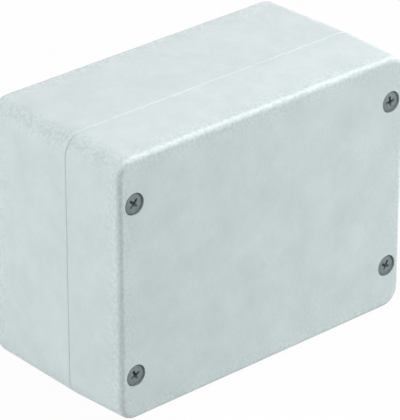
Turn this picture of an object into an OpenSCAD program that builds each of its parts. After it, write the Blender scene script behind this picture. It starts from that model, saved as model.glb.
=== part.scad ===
// Die cast aluminium box with a sealed, screwed-down lid.
// The box stands on one long narrow side: width along X, depth along Y, height along Z.
// The lid faces -Y, the wall-fixing back faces +Y, and the origin is the middle of the base edge.

/* [Case] */
// Overall width at the joint between base and lid
case_w = 120; // [105:1:180]
// Overall height at the joint between base and lid
case_h = 90; // [84:1:140]
// Overall depth, back of the base to front of the lid
case_d = 60; // [52:1:100]
// Depth of the lid casting
lid_d = 23.4; // [20:0.2:28]
// Thickness of the base's side walls at the joint
wall_t = 3.2; // [3:0.1:4]
// Thickness of the base's back and of the lid's front
plate_t = 3.2; // [2.6:0.1:4]
// Outside corner radius at the joint
corner_r = 7.1; // [6:0.1:10]

/* [Casting form] */
// Draft of the base's outside, in degrees
base_draft = 0.9; // [0.5:0.1:2]
// Draft of the lid's outside, in degrees
lid_draft = 2; // [0.5:0.1:2.5]
// Draft of the hollows, in degrees
core_draft = 1; // [0.5:0.1:2]
// Rounding of the lid's front edge
front_edge_r = 1.9; // [1:0.1:2.5]
// Rounding of the base's back edge
back_edge_r = 1.5; // [1:0.1:2.5]
// Rounding of both castings' edges where they meet
joint_edge_r = 0.35; // [0.2:0.05:0.6]

/* [Corner blocks] */
// Width of a corner block, from the outside of the case
block_w = 13; // [12.6:0.2:16]
// Height of a corner block, from the outside of the case
block_h = 23; // [22:0.5:27]
// Rounding of a corner block's free edge
block_r = 3.5; // [2.5:0.5:4]
// Rounding of the hollow's own corners
hollow_r = 3; // [2:0.5:4]

/* [Lid screws] */
// Distance of a lid screw from the nearer side of the case
screw_inset_w = 6.8; // [6.4:0.1:7.2]
// Distance of a lid screw from the top or bottom of the case
screw_inset_h = 16; // [15.6:0.1:17]
// Thread diameter
screw_d = 4; // [3.5:0.1:4]
// Diameter of the plain shank under the head
shank_d = 3.2; // [2.9:0.1:3.3]
// Diameter of the cheese head
head_d = 7; // [6.6:0.1:7]
// Height of the head
head_h = 2.6; // [2.4:0.1:3]
// Depth of the head's face below the front of the lid
head_recess = 0.4; // [0.2:0.1:1.6]
// Chamfer round the top of the head
head_chamfer = 0.4; // [0.2:0.1:0.6]
// Span of the cross recess at the face of the head
cross_span = 3.8; // [3.4:0.1:4.4]
// Span of the cross recess at its bottom
cross_point = 1.6; // [1.4:0.1:2]
// Width of the cross recess's arms
cross_w = 0.9; // [0.8:0.1:1.2]
// Depth of the cross recess
cross_t = 1.7; // [1.5:0.1:2]
// Length of thread held in the base
thread_grip = 9; // [7:0.5:10]
// Length of thread that shows above the base when the lid is screwed down
thread_stub = 5; // [4:0.5:6]
// Thickness of the lid's web under the head
web_t = 3.4; // [3:0.1:4]
// Thickness of the retaining ring
ring_t = 0.8; // [0.6:0.1:1]
// Outside diameter of the retaining ring
ring_d = 6.4; // [6:0.1:6.4]

/* [Wall fixing] */
// Distance of a fixing hole from the nearer side of the case
fix_inset_w = 6.8; // [6.6:0.1:7.4]
// Distance of a fixing hole from the top or bottom of the case
fix_inset_h = 6.8; // [6.6:0.1:7.2]
// Diameter of the fixing hole
fix_d = 4.5; // [4.2:0.1:5]
// Diameter of the recess for the fixing screw's head
fix_head_d = 8.2; // [7.6:0.1:8.4]
// Metal left under the fixing screw's head
fix_seat_t = 6; // [5:0.5:8]

/* [Seal] */
// Width of the tongue round the hollow of the base
tongue_w = 1.2; // [1:0.1:1.4]
// Height of the tongue
tongue_h = 1.6; // [1.2:0.1:2]
// Width of the groove in the lid
groove_w = 2.4; // [2.2:0.1:2.6]
// Thickness of the gasket in the groove
gasket_t = 1.4; // [1:0.1:2]
// Wall of the lid on the inside of the groove
groove_lip = 1.2; // [1:0.1:1.6]

/* [Inner pillars] */
// Spacing of the pillars along the width
pillar_span_w = 70; // [60:1:72]
// Spacing of the pillars along the height
pillar_span_h = 54; // [44:1:60]
// Diameter of a pillar
pillar_d = 8; // [7:0.5:9]
// Height of a pillar above the inside of the back
pillar_h = 4; // [3:0.5:6]
// Diameter of the tapped hole in a pillar
pillar_hole_d = 3.3; // [2.5:0.1:4]
// Diameter of the marks that the ejector pins leave inside both castings
ejector_d = 6; // [4:0.5:8]
// Depth of the ejector marks
ejector_t = 0.3; // [0.1:0.1:0.5]
// Spacing of the ejector marks along the width
ejector_span_w = 38; // [30:1:44]
// Spacing of the ejector marks along the height
ejector_span_h = 22; // [20:1:26]

/* [Earth terminal] */
// Distance of the earth terminal from the middle of the hollow, along the width
earth_x = 22; // [12:1:24]
// Height of the earth terminal above the middle of the case
earth_z = -27; // [-28:1:-22]
// Diameter of the earth boss
earth_boss_d = 11; // [10:0.5:12]
// Height of the earth boss
earth_boss_h = 5; // [4:0.5:6]
// Thread diameter of the earth screw
earth_screw_d = 4; // [3:0.5:4]
// Length of the earth screw under its head
earth_screw_l = 8; // [7:0.5:8.5]
// Width of the earth screw's slot
slot_w = 1.2; // [1:0.1:1.3]
// Depth of the earth screw's slot
slot_t = 1.3; // [1:0.1:1.4]
// Width of the square wire clamp
clamp_w = 9; // [8.6:0.2:9.6]
// Thickness of the wire clamp
clamp_t = 1.2; // [1:0.1:1.5]
// Thickness of the spring washer
washer_t = 1; // [0.8:0.1:1.2]

/* [Hidden] */
eps = 0.01;
$fn = 48;

thread_clear = 0.05;      // radial, thread in its tapped hole and ring on its shank
head_clear = 0.15;        // radial, head in its counterbore
ring_clear = 0.2;         // radial, ring in the lid's relief
shank_clear = 0.25;       // radial, thread through the lid's web
seal_clear = 0.05;        // between tongue and gasket, and each side of the gasket
tongue_set = 0.2;         // from the edge of the base's hollow to the tongue
tap_spare = 2;            // tapped depth past the end of a lid screw
earth_tap_spare = 1;      // tapped depth past the end of the earth screw
pocket_roof = 2;          // metal kept between a pocket and the inside of the lid's front
joint_step = 30;          // degrees between levels round the joint edge
edge_step = 15;           // degrees between levels round the far edge

base_d = case_d - lid_d;
joint_y = lid_d - case_d / 2;
base_floor = base_d - plate_t;                // depth of the base's hollow
lid_floor = lid_d - plate_t;                  // depth of the lid's hollow
groove_mid = tongue_w / 2 + tongue_set;       // middle of tongue and groove, outside the hollow
groove_t = tongue_h + gasket_t + seal_clear;
lid_inset = groove_w / 2 - groove_mid + groove_lip;

head_seat = lid_d - head_recess - head_h;     // height of the head's seat above the joint
bore_d = ring_d + 2 * ring_clear;             // relief behind the web, where the ring travels
bore_t = head_seat - web_t;
tap_t = thread_grip + tap_spare;
fix_recess_t = base_d - fix_seat_t;
pocket_t = lid_floor - pocket_roof;           // coring of the lid over a fixing hole
earth_floor = base_floor - earth_boss_h;
earth_tap_t = earth_screw_l - clamp_t - washer_t + earth_tap_spare;

// Lid screw places, from the middle of the case: lower left, lower right, upper right, upper left
screw_x = case_w / 2 - screw_inset_w;
screw_z = case_h / 2 - screw_inset_h;
screw_at = [[-screw_x, -screw_z], [screw_x, -screw_z], [screw_x, screw_z], [-screw_x, screw_z]];
screw_rest = [25, 62, 8, 47];                 // degrees each screw's recess is turned when tight

// ---- placing: a casting is drawn lying on its joint, z = 0, with its depth up +Z ----

// The base's depth runs along +Y. The turn also swaps left and right.
module place_base() {
  translate([0, joint_y, case_h / 2]) rotate([90, 0, 180]) children();
}

// The lid's depth runs along -Y
module place_lid() {
  translate([0, joint_y, case_h / 2]) rotate([90, 0, 0]) children();
}

// ---- outlines ----

module rounded_rect(w, h, r) {
  square([w - 2 * r, h], center = true);
  square([w, h - 2 * r], center = true);
  for (x = [-1, 1], y = [-1, 1]) translate([x * (w / 2 - r), y * (h / 2 - r)]) circle(r);
}

// The hollow between the four corner blocks, grown outwards by grow
module hollow_outline(grow = 0) {
  inner_w = case_w - 2 * block_w + 2 * grow;
  inner_h = case_h - 2 * block_h + 2 * grow;
  free_r = block_r - grow;
  rounded_rect(inner_w, case_h - 2 * wall_t + 2 * grow, hollow_r + grow);
  rounded_rect(case_w - 2 * wall_t + 2 * grow, inner_h, hollow_r + grow);
  for (x = [0, 1], y = [0, 1]) mirror([x, 0]) mirror([0, y])
    translate([inner_w / 2, inner_h / 2]) difference() {
      translate([-eps, -eps]) square(free_r + eps);
      translate([free_r, free_r]) circle(free_r);
    }
}

// ---- forms shared by the two castings ----

// One level of a casting's outside: the joint outline drawn in by inset
module outside_level(z, inset) {
  translate([0, 0, z - eps]) linear_extrude(eps)
    rounded_rect(case_w - 2 * inset, case_h - 2 * inset, corner_r - inset);
}

// The outside of a casting: drafted sides, a small edge at the joint and a rounded far edge
module casting_outside(depth, draft, edge_r) {
  slope = tan(draft);
  hull() {
    for (a = [0 : joint_step : 90])
      outside_level(eps + joint_edge_r * (1 - cos(a)), joint_edge_r * (1 - sin(a)));
    for (a = [0 : edge_step : 90])
      outside_level(depth - edge_r * (1 - sin(a)), (depth - edge_r) * slope + edge_r * (1 - cos(a)));
  }
}

// A drafted hollow, widest at the joint
module casting_hollow(depth, grow) {
  taper = 2 * depth * tan(core_draft);
  far_scale = [1 - taper / case_w, 1 - taper / case_h];
  translate([0, 0, -eps]) linear_extrude(depth + eps, slices = 1, scale = far_scale) hollow_outline(grow);
}

// A band that follows the hollow's outline
module seal_band(w, t) {
  linear_extrude(t) difference() {
    hollow_outline(groove_mid + w / 2);
    hollow_outline(groove_mid - w / 2);
  }
}

module at_fixings() {
  for (x = [-1, 1], y = [-1, 1])
    translate([x * (case_w / 2 - fix_inset_w), y * (case_h / 2 - fix_inset_h), 0]) children();
}

module at_pillars() {
  for (x = [-1, 1], y = [-1, 1])
    translate([x * pillar_span_w / 2, y * pillar_span_h / 2, 0]) children();
}

module at_ejectors() {
  for (x = [-1, 1], y = [-1, 1])
    translate([x * ejector_span_w / 2, y * ejector_span_h / 2, 0]) children();
}

module at_earth() {
  translate([-earth_x, earth_z, 0]) children();
}

// ---- castings ----

module base() {
  color("gainsboro") place_base() difference() {
    union() {
      difference() {
        casting_outside(base_d, base_draft, back_edge_r);
        casting_hollow(base_floor, 0);
      }
      translate([0, 0, -tongue_h]) seal_band(tongue_w, tongue_h + eps);
      at_pillars() translate([0, 0, base_floor - pillar_h]) cylinder(h = pillar_h + eps, d = pillar_d);
      at_earth() translate([0, 0, earth_floor]) cylinder(h = earth_boss_h + eps, d = earth_boss_d);
    }
    for (p = screw_at) translate([p[0], p[1], -eps])
      cylinder(h = tap_t + eps, d = screw_d + 2 * thread_clear);
    at_fixings() translate([0, 0, -eps]) cylinder(h = base_d + 2 * eps, d = fix_d);
    at_fixings() translate([0, 0, -eps]) cylinder(h = fix_recess_t + eps, d = fix_head_d);
    at_pillars() translate([0, 0, base_floor - pillar_h - eps])
      cylinder(h = pillar_h + plate_t / 2 + eps, d = pillar_hole_d);
    at_earth() translate([0, 0, earth_floor - eps])
      cylinder(h = earth_tap_t + eps, d = earth_screw_d + 2 * thread_clear);
    at_ejectors() translate([0, 0, base_floor - eps]) cylinder(h = ejector_t + eps, d = ejector_d);
  }
}

module lid() {
  color("gainsboro") place_lid() difference() {
    casting_outside(lid_d, lid_draft, front_edge_r);
    casting_hollow(lid_floor, -lid_inset);
    translate([0, 0, -eps]) seal_band(groove_w, groove_t + eps);
    at_fixings() translate([0, 0, -eps]) cylinder(h = pocket_t + eps, d = fix_head_d);
    at_ejectors() translate([0, 0, lid_floor - eps]) cylinder(h = ejector_t + eps, d = ejector_d);
    for (p = screw_at) translate([p[0], p[1], 0]) {
      translate([0, 0, -eps]) cylinder(h = bore_t + eps, d = bore_d);
      cylinder(h = lid_d, d = screw_d + 2 * shank_clear);
      translate([0, 0, head_seat]) cylinder(h = lid_d, d = head_d + 2 * head_clear);
    }
  }
}

// ---- seal ----

module gasket() {
  color("dimgray") place_lid() translate([0, 0, tongue_h + seal_clear])
    seal_band(groove_w - 2 * seal_clear, gasket_t);
}

// ---- captive lid screws ----

// A cheese head standing on z = 0, its top edge chamfered
module cheese_head() {
  cylinder(h = head_h - head_chamfer, d = head_d);
  translate([0, 0, head_h - head_chamfer])
    cylinder(h = head_chamfer, d1 = head_d, d2 = head_d - 2 * head_chamfer);
}

// A cross recess below z = 0: two arms that a cone narrows towards the bottom
module cross_recess() {
  translate([0, 0, -cross_t]) intersection() {
    cylinder(h = cross_t + eps, d1 = cross_point, d2 = cross_span);
    for (a = [0, 90]) rotate([0, 0, a])
      translate([-cross_span / 2, -cross_w / 2, -eps]) cube([cross_span, cross_w, cross_t + 3 * eps]);
  }
}

module lid_screw(i) {
  color("silver") place_lid() translate([screw_at[i][0], screw_at[i][1], 0]) difference() {
    union() {
      translate([0, 0, -thread_grip]) cylinder(h = thread_grip + thread_stub, d = screw_d);
      cylinder(h = head_seat + eps, d = shank_d);
      translate([0, 0, head_seat]) cheese_head();
    }
    translate([0, 0, head_seat + head_h]) rotate([0, 0, screw_rest[i]]) cross_recess();
  }
}

module retaining_ring(i) {
  color("darkgray") place_lid() translate([screw_at[i][0], screw_at[i][1], thread_stub]) difference() {
    cylinder(h = ring_t, d = ring_d);
    translate([0, 0, -eps]) cylinder(h = ring_t + 2 * eps, d = shank_d + 2 * thread_clear);
  }
}

// ---- earth terminal inside the base ----

module earth_screw() {
  color("gold") place_base() at_earth() translate([0, 0, earth_floor - clamp_t - washer_t])
    difference() {
      union() {
        translate([0, 0, -eps]) cylinder(h = earth_screw_l + eps, d = earth_screw_d);
        mirror([0, 0, 1]) cheese_head();
      }
      translate([-head_d, -slot_w / 2, -head_h - eps]) cube([2 * head_d, slot_w, slot_t + eps]);
    }
}

module earth_spring_washer() {
  color("gold") place_base() at_earth() translate([0, 0, earth_floor - clamp_t - washer_t])
    difference() {
      cylinder(h = washer_t, d = head_d);
      translate([0, 0, -eps]) cylinder(h = washer_t + 2 * eps, d = earth_screw_d + 2 * thread_clear);
      translate([0, -washer_t / 4, -eps]) cube([head_d, washer_t / 2, washer_t + 2 * eps]);
    }
}

module earth_clamp() {
  color("gold") place_base() at_earth() translate([0, 0, earth_floor - clamp_t]) difference() {
    translate([-clamp_w / 2, -clamp_w / 2, 0]) cube([clamp_w, clamp_w, clamp_t]);
    translate([0, 0, -eps]) cylinder(h = clamp_t + 2 * eps, d = earth_screw_d + 2 * thread_clear);
  }
}

base();
lid();
gasket();
lid_screw(0);  // lid_screw_1
lid_screw(1);  // lid_screw_2
lid_screw(2);  // lid_screw_3
lid_screw(3);  // lid_screw_4
retaining_ring(0);  // retaining_ring_1
retaining_ring(1);  // retaining_ring_2
retaining_ring(2);  // retaining_ring_3
retaining_ring(3);  // retaining_ring_4
earth_screw();
earth_spring_washer();
earth_clamp();
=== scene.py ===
import math

import bmesh
import bpy
import numpy as np
from mathutils import Matrix, Vector


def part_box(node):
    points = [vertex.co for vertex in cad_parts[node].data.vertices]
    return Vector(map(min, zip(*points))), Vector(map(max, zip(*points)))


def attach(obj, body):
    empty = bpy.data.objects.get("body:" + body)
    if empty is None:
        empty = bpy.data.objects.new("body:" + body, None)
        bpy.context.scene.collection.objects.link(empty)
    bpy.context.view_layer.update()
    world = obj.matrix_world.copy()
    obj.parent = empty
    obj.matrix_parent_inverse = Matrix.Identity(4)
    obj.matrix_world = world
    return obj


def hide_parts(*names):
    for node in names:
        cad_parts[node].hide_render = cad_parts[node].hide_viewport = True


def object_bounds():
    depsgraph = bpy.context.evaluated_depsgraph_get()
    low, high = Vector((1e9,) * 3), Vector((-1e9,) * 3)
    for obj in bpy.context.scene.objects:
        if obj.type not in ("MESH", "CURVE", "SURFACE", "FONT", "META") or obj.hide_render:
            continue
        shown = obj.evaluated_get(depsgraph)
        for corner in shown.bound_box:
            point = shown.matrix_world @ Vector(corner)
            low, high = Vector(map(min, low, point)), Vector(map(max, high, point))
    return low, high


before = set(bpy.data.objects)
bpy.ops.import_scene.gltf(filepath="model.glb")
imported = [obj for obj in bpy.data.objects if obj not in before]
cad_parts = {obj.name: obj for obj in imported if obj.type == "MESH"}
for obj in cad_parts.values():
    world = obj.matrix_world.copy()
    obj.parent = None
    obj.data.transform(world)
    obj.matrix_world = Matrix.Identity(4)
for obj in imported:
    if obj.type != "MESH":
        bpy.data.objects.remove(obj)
cad_low, cad_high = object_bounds()

# ---- Camera ----
# The box is seen from above its lid's left corner, far enough away that its long edges stay
# nearly parallel. The lens is long and has no shift, and everything is in focus.
AZIMUTH, ELEVATION = math.radians(-41.92), math.radians(26.92)
CAMERA_DISTANCE = 1.0356
AIM_RIGHT, AIM_UP = -0.00025, -0.00198       # aim point from the middle of the box, across the line of sight
LENS, SENSOR = 282.8, 36.0
CLIP_NEAR, CLIP_FAR = 0.05, 20.0

back = Vector((math.sin(AZIMUTH) * math.cos(ELEVATION), -math.cos(AZIMUTH) * math.cos(ELEVATION),
               math.sin(ELEVATION)))
right = Vector((math.cos(AZIMUTH), math.sin(AZIMUTH), 0.0))
up = back.cross(right)
camera_data = bpy.data.cameras.new("camera")
camera_data.lens, camera_data.sensor_width = LENS, SENSOR
camera_data.clip_start, camera_data.clip_end = CLIP_NEAR, CLIP_FAR
camera = bpy.data.objects.new("camera", camera_data)
bpy.context.scene.collection.objects.link(camera)
middle = (cad_low + cad_high) / 2
camera.location = middle + back * CAMERA_DISTANCE + right * AIM_RIGHT + up * AIM_UP
camera.rotation_euler = Matrix((right, up, back)).transposed().to_euler()
bpy.context.scene.camera = camera

# ---- Castings: base and lid ----
# Two pressure die castings in aluminium, tumbled and blasted to an even, very fine grain and
# left bare. Each is the CAD casting merged into one skin, so its rounded edges shade smoothly.
CAST_DEEP = (0.505, 0.59, 0.585)
CAST_PALE = (0.60, 0.68, 0.68)
CAST_METALLIC = 0.42
CAST_SMOOTHEST, CAST_ROUGHEST = 0.5, 0.8
CLOUD_SCALE, GRAIN_SCALE, SPECK_SCALE = 90, 1500, 1000          # noise cells to the metre
MOTTLE_LOW, MOTTLE_HIGH = 0.36, 0.64
GRAIN_LOW, GRAIN_HIGH = 0.3, 0.7
GRAIN_HEIGHT, GRAIN_STRENGTH = 0.00014, 0.6
SPECK_LIFT = 1.1                             # how far a speck stands up, against the grain
RUB_FULL, RUB_REACH = 0.001, 0.009           # from an edge: full wear, and none
MERGE_WITHIN = 2e-6
ONE_PLANE = math.radians(0.4)
SMOOTH_BELOW = math.radians(32)
FLAT_AREA = 0.0002                           # a plane with more metal than this leads the shading beside it
TILT_STEPS, OFFSET_STEPS = 400, 2e4          # to count as one plane: 1/400 in direction, 0.05 mm in place


def noise(tree, scale, detail, roughness=0.5):
    """Noise on the piece's own Object coordinates, with that many cells to the metre."""
    cells = tree.nodes.new("ShaderNodeTexNoise")
    cells.inputs["Scale"].default_value = scale
    cells.inputs["Detail"].default_value = detail
    cells.inputs["Roughness"].default_value = roughness
    tree.links.new(tree.nodes.new("ShaderNodeTexCoord").outputs["Object"], cells.inputs["Vector"])
    return cells.outputs["Fac"]


def ramp(tree, value, low, high, low_colour, high_colour):
    """low_colour where value is at or under low, high_colour at or over high, and a blend between."""
    blend = tree.nodes.new("ShaderNodeValToRGB")
    first, last = blend.color_ramp.elements
    first.position, last.position = low, high
    first.color, last.color = (*low_colour, 1), (*high_colour, 1)
    tree.links.new(value, blend.inputs["Fac"])
    return blend.outputs["Color"]


def joined(tree, kind, operation, *parts):
    """The result of one Math or Vector Math node. Each part is another node's output or a plain value."""
    worked = tree.nodes.new(kind)
    worked.operation = operation
    for socket, part in zip(worked.inputs, parts):
        if isinstance(part, bpy.types.NodeSocket):
            tree.links.new(part, socket)
        else:
            socket.default_value = part
    return worked.outputs[0]


def maths(tree, operation, *parts):
    """One operation on numbers."""
    return joined(tree, "ShaderNodeMath", operation, *parts)


def vectors(tree, operation, *parts):
    """One operation on points."""
    return joined(tree, "ShaderNodeVectorMath", operation, *parts)


def lift(tree, shader, height, strength, distance):
    """Raises the surface by height, as a bump that is distance deep."""
    bump = tree.nodes.new("ShaderNodeBump")
    bump.inputs["Strength"].default_value = strength
    bump.inputs["Distance"].default_value = distance
    tree.links.new(height, bump.inputs["Height"])
    tree.links.new(bump.outputs["Normal"], shader.inputs["Normal"])


def edge_wear(tree):
    """1 within RUB_FULL of an edge of the box, fading to 0 at RUB_REACH.

    Along each axis a point lies some way in from the nearer face, and the middle one of these three
    depths stands for its distance to an edge: max(min(x, y), min(max(x, y), z)).
    """
    place = tree.nodes.new("ShaderNodeTexCoord").outputs["Object"]
    from_middle = vectors(tree, "ABSOLUTE", vectors(tree, "SUBTRACT", place, middle))
    depth = vectors(tree, "SUBTRACT", (cad_high - cad_low) / 2, from_middle)
    split = tree.nodes.new("ShaderNodeSeparateXYZ")
    tree.links.new(depth, split.inputs[0])
    x, y, z = split.outputs
    nearer = maths(tree, "MINIMUM", x, y)
    edge = maths(tree, "MAXIMUM", nearer, maths(tree, "MINIMUM", maths(tree, "MAXIMUM", x, y), z))
    wear = tree.nodes.new("ShaderNodeMapRange")
    wear.interpolation_type = "SMOOTHSTEP"
    wear.inputs["From Min"].default_value = RUB_REACH
    wear.inputs["From Max"].default_value = RUB_FULL
    tree.links.new(edge, wear.inputs["Value"])
    return wear.outputs["Result"]


def cast_material():
    """Blasted aluminium: clouds about a centimetre across, and a grain under a millimetre in colour,
    roughness and bump. Tumbling works the edges harder, so a coarser speck shows near them.
    """
    made = bpy.data.materials.new("cast_aluminium")
    made.use_nodes = True
    tree = made.node_tree
    shader = tree.nodes["Principled BSDF"]
    shader.inputs["Metallic"].default_value = CAST_METALLIC
    clouds = noise(tree, CLOUD_SCALE, 6, 0.7)
    grain = noise(tree, GRAIN_SCALE, 3, 0.6)
    speck = maths(tree, "SUBTRACT", noise(tree, SPECK_SCALE, 2), 0.5)
    speck = maths(tree, "MULTIPLY", speck, edge_wear(tree))
    even = maths(tree, "MULTIPLY", maths(tree, "ADD", grain, clouds), 0.5)
    mottle = maths(tree, "ADD", even, speck)
    colour = ramp(tree, mottle, MOTTLE_LOW, MOTTLE_HIGH, CAST_DEEP, CAST_PALE)
    tree.links.new(colour, shader.inputs["Base Color"])
    rough = ramp(tree, grain, GRAIN_LOW, GRAIN_HIGH, [CAST_SMOOTHEST] * 3, [CAST_ROUGHEST] * 3)
    tree.links.new(rough, shader.inputs["Roughness"])
    lift(tree, shader, maths(tree, "MULTIPLY_ADD", speck, SPECK_LIFT, grain), GRAIN_STRENGTH, GRAIN_HEIGHT)
    return made


def merged_skin(node):
    """The CAD node as one skin: doubled points merged, and faces that lie in one plane joined."""
    skin = bmesh.new()
    skin.from_mesh(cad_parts[node].data)
    bmesh.ops.remove_doubles(skin, verts=skin.verts, dist=MERGE_WITHIN)
    bmesh.ops.dissolve_limit(skin, angle_limit=ONE_PLANE, verts=skin.verts, edges=skin.edges)
    return skin


def corner_normals(mesh):
    """One normal for each corner of each face, so that roundings shade smoothly and flats stay flat.

    At a point, the faces within SMOOTH_BELOW of the corner's own face share a normal: that of the
    largest plane among them if it is a large flat, and otherwise their mean, weighted by area.
    """
    count = len(mesh.polygons)
    normal, centre, area = np.empty(count * 3), np.empty(count * 3), np.empty(count)
    mesh.polygons.foreach_get("normal", normal)
    mesh.polygons.foreach_get("center", centre)
    mesh.polygons.foreach_get("area", area)
    normal, centre = normal.reshape(-1, 3), centre.reshape(-1, 3)
    offset = (normal * centre).sum(axis=1, keepdims=True)
    rounded = np.round(np.hstack([normal * TILT_STEPS, offset * OFFSET_STEPS]))
    plane = np.unique(rounded, axis=0, return_inverse=True)[1].ravel()
    plane_area = np.bincount(plane, weights=area)[plane]
    faces_at = [[] for _ in mesh.vertices]
    for face in mesh.polygons:
        for vertex in face.vertices:
            faces_at[vertex].append(face.index)
    found = []
    for face in mesh.polygons:
        for vertex in face.vertices:
            near = np.array(faces_at[vertex])
            near = near[normal[near] @ normal[face.index] > math.cos(SMOOTH_BELOW)]
            lead = near[np.argmax(plane_area[near])]
            mean = (normal[near] * area[near, None]).sum(axis=0)
            found.append(normal[lead] if plane_area[lead] > FLAT_AREA else mean / np.linalg.norm(mean))
    return found


def piece_from(name, skin, finish):
    """A piece of that name, made of skin in that finish and shaded smoothly."""
    mesh = bpy.data.meshes.new(name)
    skin.to_mesh(mesh)
    skin.free()
    mesh.materials.append(finish)
    mesh.shade_smooth()
    piece = bpy.data.objects.new(name, mesh)
    bpy.context.scene.collection.objects.link(piece)
    return piece


cast_aluminium = cast_material()
for body in ("base", "lid"):
    casting = piece_from(f"{body}_casting", merged_skin(body), cast_aluminium)
    casting.data.normals_split_custom_set(corner_normals(casting.data))
    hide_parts(body)
    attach(casting, body)

# ---- Earth terminal ----
# A slotted brass screw holds a square brass clamp and a spring washer down on the boss inside the
# base, where the earth wire goes under the clamp. They are shown by their CAD solids.
DARK_SHARE = 0.82                            # the darkest grain, as a share of the colour
ROUGH_SPREAD = 0.2                           # how far the roughness strays either way, as a share
FINE_DETAIL, FINE_STRENGTH = 4, 0.3


def grained_finish(name, colour, metallic, roughness, grain_scale, grain_height):
    """One finish with a fine grain of grain_scale cells to the metre.

    The grain moves the colour and the roughness a little, and lifts the surface by grain_height.
    """
    made = bpy.data.materials.new(name)
    made.use_nodes = True
    tree = made.node_tree
    shader = tree.nodes["Principled BSDF"]
    shader.inputs["Metallic"].default_value = metallic
    grain = noise(tree, grain_scale, FINE_DETAIL)
    tint = ramp(tree, grain, GRAIN_LOW, GRAIN_HIGH, [part * DARK_SHARE for part in colour], colour)
    tree.links.new(tint, shader.inputs["Base Color"])
    span = tree.nodes.new("ShaderNodeMapRange")
    span.inputs["To Min"].default_value = roughness * (1 - ROUGH_SPREAD)
    span.inputs["To Max"].default_value = roughness * (1 + ROUGH_SPREAD)
    tree.links.new(grain, span.inputs["Value"])
    tree.links.new(span.outputs["Result"], shader.inputs["Roughness"])
    lift(tree, shader, grain, FINE_STRENGTH, grain_height)
    return made


def show_solid(node, finish):
    """Shows the CAD solid of that node in that finish."""
    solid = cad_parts[node].data
    solid.materials.clear()
    solid.materials.append(finish)


earth_brass = grained_finish("earth_brass", colour=(0.72, 0.5, 0.2), metallic=1.0, roughness=0.35,
                             grain_scale=1500, grain_height=0.00003)
for node in ("earth_screw", "earth_spring_washer", "earth_clamp"):
    show_solid(node, earth_brass)

# ---- Gasket ----
# A black rubber ring moulded to the outline of the hollow and pushed into the lid's groove. It is
# shown by its CAD solid.
gasket_rubber = grained_finish("gasket_rubber", colour=(0.03, 0.03, 0.032), metallic=0.0, roughness=0.7,
                               grain_scale=1200, grain_height=0.0001)
show_solid("gasket", gasket_rubber)

# ---- Lid screws ----
# Captive M4 screws in zinc plated steel. The head and the waisted shank are those of the CAD screw,
# and the rolled thread takes the place of its plain threaded end.
SCREW_COUNT = 4
THREAD_LENGTH = 0.014
THREAD_PITCH = 0.0007
THREAD_CORE, THREAD_DEPTH = 0.0016, 0.0004
THREAD_FLAT = 0.2                            # how much of the crest and of the root is cut flat
TIP_CHAMFER, TIP_TAPER = 0.0005, 0.3
STEPS_ROUND, STEPS_PER_PITCH = 36, 10


def thread_surface(x, tip_y, z):
    """Points and faces of a thread that runs from tip_y towards -Y, round an axis at x, z.

    With s the distance from the tip and a the angle, the radius is
    r = core (1 - taper max(0, 1 - s / chamfer)) + depth f(s) g(s / pitch - a / 2 pi).
    g is a triangle wave of period 1, cut flat at its crest and root, and f fades it out over the
    first and the last turn.
    """
    rows = int(round(THREAD_LENGTH / THREAD_PITCH * STEPS_PER_PITCH)) + 1
    s = np.linspace(0, THREAD_LENGTH, rows)[:, None]
    a = np.linspace(0, 2 * np.pi, STEPS_ROUND, endpoint=False)[None, :]
    wave = 1 - np.abs(2 * ((s / THREAD_PITCH - a / (2 * np.pi)) % 1) - 1)
    ridge = np.clip((1 + 2 * THREAD_FLAT) * wave - THREAD_FLAT, 0, 1)
    fade = np.clip(np.minimum(s, THREAD_LENGTH - s) / THREAD_PITCH, 0, 1)
    r = THREAD_CORE * (1 - TIP_TAPER * np.clip(1 - s / TIP_CHAMFER, 0, 1)) + THREAD_DEPTH * fade * ridge
    points = np.stack([x + r * np.cos(a), np.broadcast_to(tip_y - s, r.shape), z + r * np.sin(a)], axis=-1)
    i, j = np.meshgrid(np.arange(rows - 1), np.arange(STEPS_ROUND), indexing="ij")
    k = (j + 1) % STEPS_ROUND
    quads = np.stack([i * STEPS_ROUND + j, i * STEPS_ROUND + k, (i + 1) * STEPS_ROUND + k,
                      (i + 1) * STEPS_ROUND + j], axis=-1).reshape(-1, 4)
    tip = list(range(STEPS_ROUND))[::-1]
    return points.reshape(-1, 3).tolist(), [*quads.tolist(), tip]


def threaded_screw(node):
    """The CAD screw with a rolled thread for its last THREAD_LENGTH, and every open end closed."""
    low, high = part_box(node)
    screw = merged_skin(node)
    bmesh.ops.bisect_plane(screw, geom=[*screw.verts, *screw.edges, *screw.faces],
                           plane_co=(0, high.y - THREAD_LENGTH, 0), plane_no=(0, 1, 0), clear_outer=True)
    points, faces = thread_surface((low.x + high.x) / 2, high.y, (low.z + high.z) / 2)
    added = [screw.verts.new(point) for point in points]
    for face in faces:
        screw.faces.new([added[n] for n in face])
    bmesh.ops.holes_fill(screw, edges=[edge for edge in screw.edges if edge.is_boundary], sides=0)
    bmesh.ops.recalc_face_normals(screw, faces=screw.faces)
    return screw


screw_steel = grained_finish("screw_steel", colour=(0.235, 0.285, 0.29), metallic=0.6, roughness=0.58,
                             grain_scale=1100, grain_height=0.00014)
for number in range(1, SCREW_COUNT + 1):
    captive_screw = piece_from(f"captive_screw_{number}", threaded_screw(f"lid_screw_{number}"), screw_steel)
    captive_screw.data.set_sharp_from_angle(angle=SMOOTH_BELOW)
    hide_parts(f"lid_screw_{number}")
    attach(captive_screw, f"screw_{number}")

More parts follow.
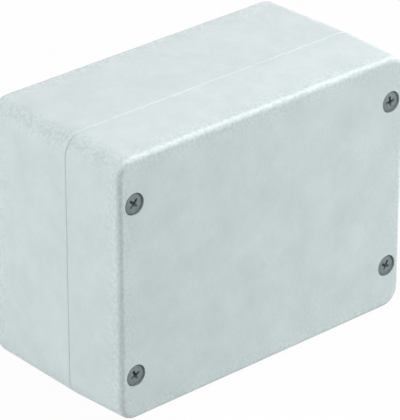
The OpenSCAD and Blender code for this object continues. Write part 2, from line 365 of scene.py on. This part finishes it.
# ---- Retaining rings ----
# Dark spring steel rings round the waisted shanks, which keep the screws in the lid when it is off.
# They are shown by their CAD solids.
ring_steel = grained_finish("ring_steel", colour=(0.16, 0.16, 0.17), metallic=0.9, roughness=0.4,
                            grain_scale=1500, grain_height=0.00003)
for number in range(1, SCREW_COUNT + 1):
    show_solid(f"retaining_ring_{number}", ring_steel)

# ---- Floor, surround and light ----
# A pale floor and a white surround, lit by three large soft boxes: one overhead, one ahead to the
# right of the lid and one beside the box on the left.
FLOOR_COLOUR = (0.6, 0.6, 0.6, 1)
FLOOR_GLOW = 0.97
FLOOR_HALF, FLOOR_GAP = 3.0, 0.0002
SKY_LIGHT, SKY_SHOWN = 0.1, 1.0              # strength of the surround as light, and where it is seen
WHITE = (1, 1, 1)


def shown(tree):
    """1 for a ray to the eye or off a glossy or clear surface, and 0 for one that only carries light."""
    rays = tree.nodes.new("ShaderNodeLightPath").outputs
    mirrored = maths(tree, "MAXIMUM", rays["Is Camera Ray"], rays["Is Glossy Ray"])
    return maths(tree, "MAXIMUM", mirrored, rays["Is Transmission Ray"])


def floor_material():
    """Matt white that also glows where it is seen, so it stays white yet keeps a soft shadow."""
    made = bpy.data.materials.new("floor_white")
    made.use_nodes = True
    tree = made.node_tree
    tree.nodes.clear()
    out = tree.nodes.new("ShaderNodeOutputMaterial")
    matt = tree.nodes.new("ShaderNodeBsdfDiffuse")
    matt.inputs["Color"].default_value = FLOOR_COLOUR
    glow = tree.nodes.new("ShaderNodeEmission")
    glow.inputs["Color"].default_value = (*WHITE, 1)
    mix = tree.nodes.new("ShaderNodeMixShader")
    tree.links.new(maths(tree, "MULTIPLY", shown(tree), FLOOR_GLOW), mix.inputs["Fac"])
    tree.links.new(matt.outputs[0], mix.inputs[1])
    tree.links.new(glow.outputs[0], mix.inputs[2])
    tree.links.new(mix.outputs[0], out.inputs["Surface"])
    return made


floor_mesh = bpy.data.meshes.new("floor")
floor_mesh.from_pydata([(-FLOOR_HALF, -FLOOR_HALF, 0), (FLOOR_HALF, -FLOOR_HALF, 0),
                        (FLOOR_HALF, FLOOR_HALF, 0), (-FLOOR_HALF, FLOOR_HALF, 0)], [], [(0, 1, 2, 3)])
floor_mesh.materials.append(floor_material())
floor = bpy.data.objects.new("floor", floor_mesh)
bpy.context.scene.collection.objects.link(floor)
floor.location.z = cad_low.z - FLOOR_GAP


def soft_box(name, direction, distance, size, power, tint=WHITE, mirrored=True):
    """A square lamp of that size and tint, at that distance from the box along direction, facing it.

    A lamp that isn't mirrored lights the skin without a hot patch in it, as the wall of a light tent does.
    """
    lamp = bpy.data.lights.new(name, "AREA")
    lamp.shape = "SQUARE"
    lamp.size = size
    lamp.energy = power
    lamp.color = tint
    held = bpy.data.objects.new(name, lamp)
    bpy.context.scene.collection.objects.link(held)
    towards = Vector(direction).normalized()
    held.location = middle + towards * distance
    held.rotation_euler = towards.to_track_quat("Z", "Y").to_euler()
    held.visible_glossy = mirrored


soft_box("overhead", direction=(0.3, -0.2, 1.0), distance=0.95, size=1.2, power=10.2, tint=(1.0, 0.93, 0.94))
soft_box("ahead_right", direction=(0.95, -0.6, 0.3), distance=1.0, size=0.7, power=11.2, mirrored=False)
soft_box("beside_left", direction=(-0.92, 0.35, -0.03), distance=1.0, size=0.6, power=17.0, mirrored=False)

world = bpy.data.worlds.new("studio")
bpy.context.scene.world = world
world.use_nodes = True
sky = world.node_tree.nodes["Background"]
sky.inputs["Color"].default_value = (*WHITE, 1)
sky_level = world.node_tree.nodes.new("ShaderNodeMapRange")
sky_level.inputs["To Min"].default_value = SKY_LIGHT
sky_level.inputs["To Max"].default_value = SKY_SHOWN
world.node_tree.links.new(shown(world.node_tree), sky_level.inputs["Value"])
world.node_tree.links.new(sky_level.outputs["Result"], sky.inputs["Strength"])

bpy.context.scene.view_settings.view_transform = "Standard"
